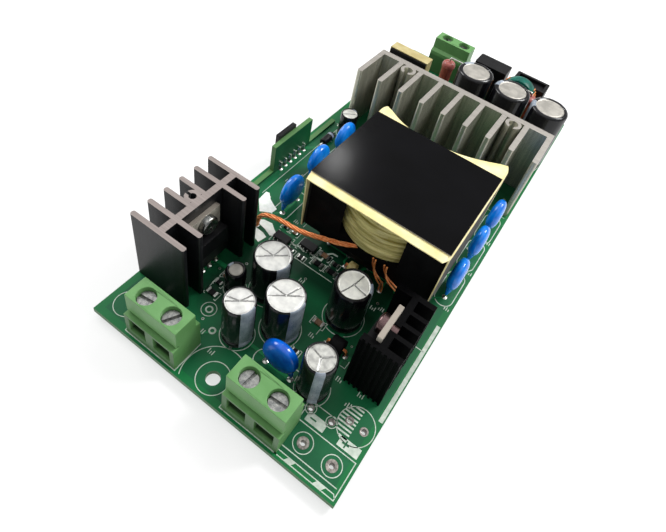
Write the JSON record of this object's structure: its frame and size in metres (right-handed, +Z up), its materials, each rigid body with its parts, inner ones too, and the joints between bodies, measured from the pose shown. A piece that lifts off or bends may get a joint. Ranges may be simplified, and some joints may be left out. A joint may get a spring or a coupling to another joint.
{
  "type": "dc-dc converter",
  "caption": "Open-frame DC-DC converter board with terminal blocks, finned heatsinks, a taped transformer, electrolytic cans and blue disc capacitors.",
  "frame": {"origin": "centre of the whole module's footprint, at the lowest solder tips on which it stands", "axes": "+Z up from the board, +Y along the long edges from the output end to the input end, +X to the right when looking along +Y"},
  "size_m": [0.0734, 0.1726, 0.037],
  "materials": {
    "board": "green solder mask with white print",
    "terminal_green": "moulded light green",
    "plated_steel": "plated",
    "black_aluminium": "black anodised with bare cut ends",
    "bare_aluminium": "bare extrusion",
    "tinned_copper": "tinned",
    "black_moulding": "moulded black",
    "ferrite": "sintered, dark grey",
    "winding_tape": "copper winding under translucent tape",
    "yellow_tape": "pale yellow tape",
    "black_label": "plain black label",
    "copper_litz": "twisted enamelled strands",
    "copper_wire": "enamelled copper",
    "green_toroid": "coated ring",
    "brown_coat": "red-brown coat",
    "orange_coat": "orange-red coat",
    "yellow_bead": "yellow bead",
    "can_sleeve": "black sleeve, bare aluminium top",
    "blue_coat": "dipped blue coat",
    "chip_bodies": "dark chips with tinned ends",
    "solder": "bright solder"
  },
  "bodies": {
    "root": {"main_board": "board", "daughter_board": "board", "left_terminal_housing": "terminal_green", "right_terminal_housing": "terminal_green", "input_terminal_housing": "terminal_green", "terminal_screws": "plated_steel", "terminal_clamps": "plated_steel", "fixing_screws": "plated_steel", "output_heatsink": "black_aluminium", "side_heatsink": "black_aluminium", "input_heatsink": "bare_aluminium", "output_transistor_tab_and_leads": "tinned_copper", "side_transistor_tab_and_leads": "tinned_copper", "output_transistor_package": "black_moulding", "side_transistor_package": "black_moulding", "transformer_core_lower": "ferrite", "transformer_core_upper": "ferrite", "transformer_spool": "black_moulding", "transformer_base": "black_moulding", "transformer_winding": "winding_tape", "transformer_tape": "yellow_tape", "transformer_label": "black_label", "transformer_pins": "tinned_copper", "long_winding_lead": "copper_litz", "short_winding_leads": "copper_litz", "daughter_component": "black_moulding", "daughter_pins": "tinned_copper", "line_choke_base_block": "black_moulding", "line_choke_core": "ferrite", "line_choke_tape": "yellow_tape", "filter_box": "black_moulding", "choke_frame": "black_moulding", "storage_toroid": "green_toroid", "front_upright_resistor": "brown_coat", "rear_upright_resistor": "orange_coat", "upright_leads": "tinned_copper", "bead": "ferrite", "small_bead": "yellow_bead", "bead_leads": "copper_wire", "start_diode": "black_moulding", "surface_parts": "chip_bodies", "solder_joints": "solder", "output_capacitor_1": "can_sleeve", "output_capacitor_2": "can_sleeve", "output_capacitor_3": "can_sleeve", "output_capacitor_4": "can_sleeve", "output_capacitor_5": "can_sleeve", "output_capacitor_6": "can_sleeve", "input_capacitor_1": "can_sleeve", "left_disc_1": "blue_coat", "right_disc_1": "blue_coat", "input_capacitor_2": "can_sleeve", "left_disc_2": "blue_coat", "right_disc_2": "blue_coat", "input_capacitor_3": "can_sleeve", "left_disc_3": "blue_coat", "right_disc_3": "blue_coat", "start_capacitor": "can_sleeve", "output_disc": "blue_coat"}
  },
  "joints": []
}
